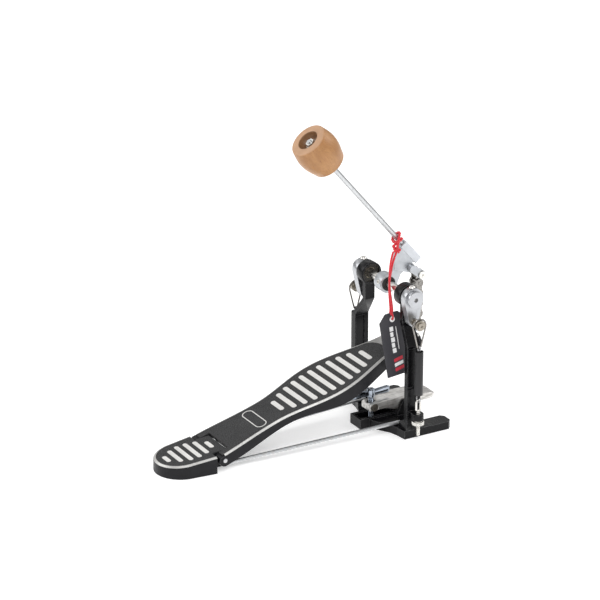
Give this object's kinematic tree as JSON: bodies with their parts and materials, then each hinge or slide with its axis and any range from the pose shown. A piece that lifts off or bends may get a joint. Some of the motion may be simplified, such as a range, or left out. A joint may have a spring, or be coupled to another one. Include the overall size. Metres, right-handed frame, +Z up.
{
  "type": "bass drum pedal",
  "caption": "Chain-drive bass drum pedal with a hinged footboard, side spring adjusters, hoop clamp and swinging wood beater.",
  "frame": {"origin": "on the floor, midway between the posts, straight under the drive shaft", "axes": "+X to the player's right, +Y towards the drum, +Z up"},
  "size_m": [0.1554, 0.3665, 0.3777],
  "materials": {
    "black_paint": "satin black enamel",
    "satin_zinc": "die-cast, satin",
    "bright_aluminium": "machined bright",
    "grip_coat": "fine textured coat",
    "chrome": "polished",
    "steel": "bright steel",
    "nickel": "nickel plated, warm",
    "bronze": "turned, dull",
    "dark_steel": "oiled chain steel",
    "sleeve_rubber": "matt rubber tube",
    "pad_rubber": "matt rubber",
    "beater_wood": "turned hardwood, thin clear lacquer",
    "cord": "twisted cord",
    "card": "printed card"
  },
  "bodies": {
    "frame": {"base_plate": "black_paint", "post_right": "black_paint", "post_left": "black_paint", "post_screws": "steel", "bearing_outer_rings": "steel", "bearing_balls": "steel", "hinge_pin": "steel", "heel_plate": "black_paint", "heel_trim": "bright_aluminium", "heel_grip": "grip_coat", "heel_bars": "bright_aluminium", "radius_rod_right": "chrome", "radius_rod_left": "chrome", "clamp_pivot_pin": "chrome", "hang_tag": "card", "tag_cord": "cord", "floor_pads": "pad_rubber"},
    "axle": {"bearing_inner_rings": "steel", "shaft_spacers": "bronze", "drive_shaft": "chrome", "hub_arm": "satin_zinc", "hub_set_screw": "nickel", "arm_pin": "nickel", "beater_clamp": "satin_zinc", "beater_clamp_screw": "nickel", "rocker_right": "satin_zinc", "rocker_left": "satin_zinc", "rocker_set_screws": "nickel", "rocker_roller_right": "bronze", "rocker_roller_left": "bronze", "cord_loop": "cord"},
    "beater": {"beater_rod": "chrome", "beater_head": "beater_wood", "beater_nut": "nickel"},
    "chain": {"chain_inner_links": "dark_steel", "chain_outer_links": "dark_steel", "chain_rollers": "dark_steel"},
    "footboard": {"footboard": "black_paint", "footboard_trim": "bright_aluminium", "toe_plate": "bright_aluminium", "footboard_grip": "grip_coat", "footboard_bars": "bright_aluminium", "footboard_badge": "bright_aluminium", "toe_bracket": "satin_zinc", "toe_pin": "nickel"},
    "clamp_lever": {"clamp_lever": "chrome"},
    "clamp_barrel": {"clamp_barrel": "bronze"},
    "wing_screw": {"wing_screw": "chrome"},
    "stirrup_right": {"stirrup_right": "chrome", "spring_hook_right": "steel"},
    "spring_right": {"spring_coil_right": "steel", "spring_sleeve_right": "sleeve_rubber"},
    "eye_bolt_right": {"eye_bolt_right": "nickel"},
    "nut_right": {"tension_nut_right": "nickel"},
    "stirrup_left": {"stirrup_left": "chrome", "spring_hook_left": "steel"},
    "spring_left": {"spring_coil_left": "steel", "spring_sleeve_left": "sleeve_rubber"},
    "eye_bolt_left": {"eye_bolt_left": "nickel"},
    "nut_left": {"tension_nut_left": "nickel"}
  },
  "joints": [
    {"name": "beater_swing", "type": "hinge", "parent": "frame", "child": "axle", "pos_m": [0, 0, 0.172], "axis": [-1, 0, 0], "range_deg": [0, 45]},
    {"name": "footboard_press", "type": "hinge", "parent": "frame", "child": "footboard", "pos_m": [0, -0.234, 0.014], "axis": [-1, 0, 0], "range_deg": [0, 6.1]},
    {"name": "chain_swing", "type": "hinge", "parent": "axle", "child": "chain", "pos_m": [0, 0.0395, 0.1785], "axis": [-1, 0, 0], "range_deg": [-58.5, 0]},
    {"name": "stirrup_swing_right", "type": "hinge", "parent": "axle", "child": "stirrup_right", "pos_m": [0.0705, 0, 0.144], "axis": [-1, 0, 0], "range_deg": [-56, 0]},
    {"name": "eye_slide_right", "type": "slide", "parent": "frame", "child": "eye_bolt_right", "axis": [0, 0, 1], "range_m": [-0.002, 0.0048]},
    {"name": "nut_turn_right", "type": "hinge", "parent": "frame", "child": "nut_right", "pos_m": [0.0705, 0, 0.0194], "axis": [0, 0, 1], "range_deg": [-2160, 900]},
    {"name": "spring_swing_right", "type": "hinge", "parent": "eye_bolt_right", "child": "spring_right", "pos_m": [0.0705, 0, 0.0485], "axis": [-1, 0, 0], "range_deg": [-11, 0]},
    {"name": "stirrup_swing_left", "type": "hinge", "parent": "axle", "child": "stirrup_left", "pos_m": [-0.0705, 0, 0.144], "axis": [-1, 0, 0], "range_deg": [-56, 0]},
    {"name": "eye_slide_left", "type": "slide", "parent": "frame", "child": "eye_bolt_left", "axis": [0, 0, 1], "range_m": [-0.002, 0.0048]},
    {"name": "nut_turn_left", "type": "hinge", "parent": "frame", "child": "nut_left", "pos_m": [-0.0705, 0, 0.0194], "axis": [0, 0, 1], "range_deg": [-2160, 900]},
    {"name": "spring_swing_left", "type": "hinge", "parent": "eye_bolt_left", "child": "spring_left", "pos_m": [-0.0705, 0, 0.0485], "axis": [-1, 0, 0], "range_deg": [-11, 0]},
    {"name": "beater_height", "type": "slide", "parent": "axle", "child": "beater", "axis": [0, -0.6494, 0.7604], "range_m": [-0.014, 0.02]},
    {"name": "wing_turn", "type": "hinge", "parent": "frame", "child": "wing_screw", "pos_m": [0, -0.021, 0.038], "axis": [0, 0, 1], "range_deg": [0, 1854]},
    {"name": "clamp_open", "type": "hinge", "parent": "frame", "child": "clamp_lever", "pos_m": [0, 0.016, 0.022], "axis": [1, 0, 0], "range_deg": [0, 8.1]},
    {"name": "barrel_turn", "type": "hinge", "parent": "clamp_lever", "child": "clamp_barrel", "pos_m": [0, -0.021, 0.022], "axis": [1, 0, 0], "range_deg": [-8.1, 0]}
  ],
  "couplings": [
    {"joint": "footboard_press", "follows": "beater_swing", "ratio": 0.1335},
    {"joint": "chain_swing", "follows": "beater_swing", "ratio": -1.29},
    {"joint": "stirrup_swing_right", "follows": "beater_swing", "ratio": -1.2404},
    {"joint": "nut_turn_right", "follows": "eye_slide_right", "rad_per_m": -7854},
    {"joint": "spring_swing_right", "follows": "beater_swing", "ratio": -0.2404},
    {"joint": "stirrup_swing_left", "follows": "beater_swing", "ratio": -1.2404},
    {"joint": "nut_turn_left", "follows": "eye_slide_left", "rad_per_m": -7854},
    {"joint": "spring_swing_left", "follows": "beater_swing", "ratio": -0.2404},
    {"joint": "clamp_open", "follows": "wing_turn", "ratio": 0.004315},
    {"joint": "barrel_turn", "follows": "wing_turn", "ratio": -0.004315}
  ]
}
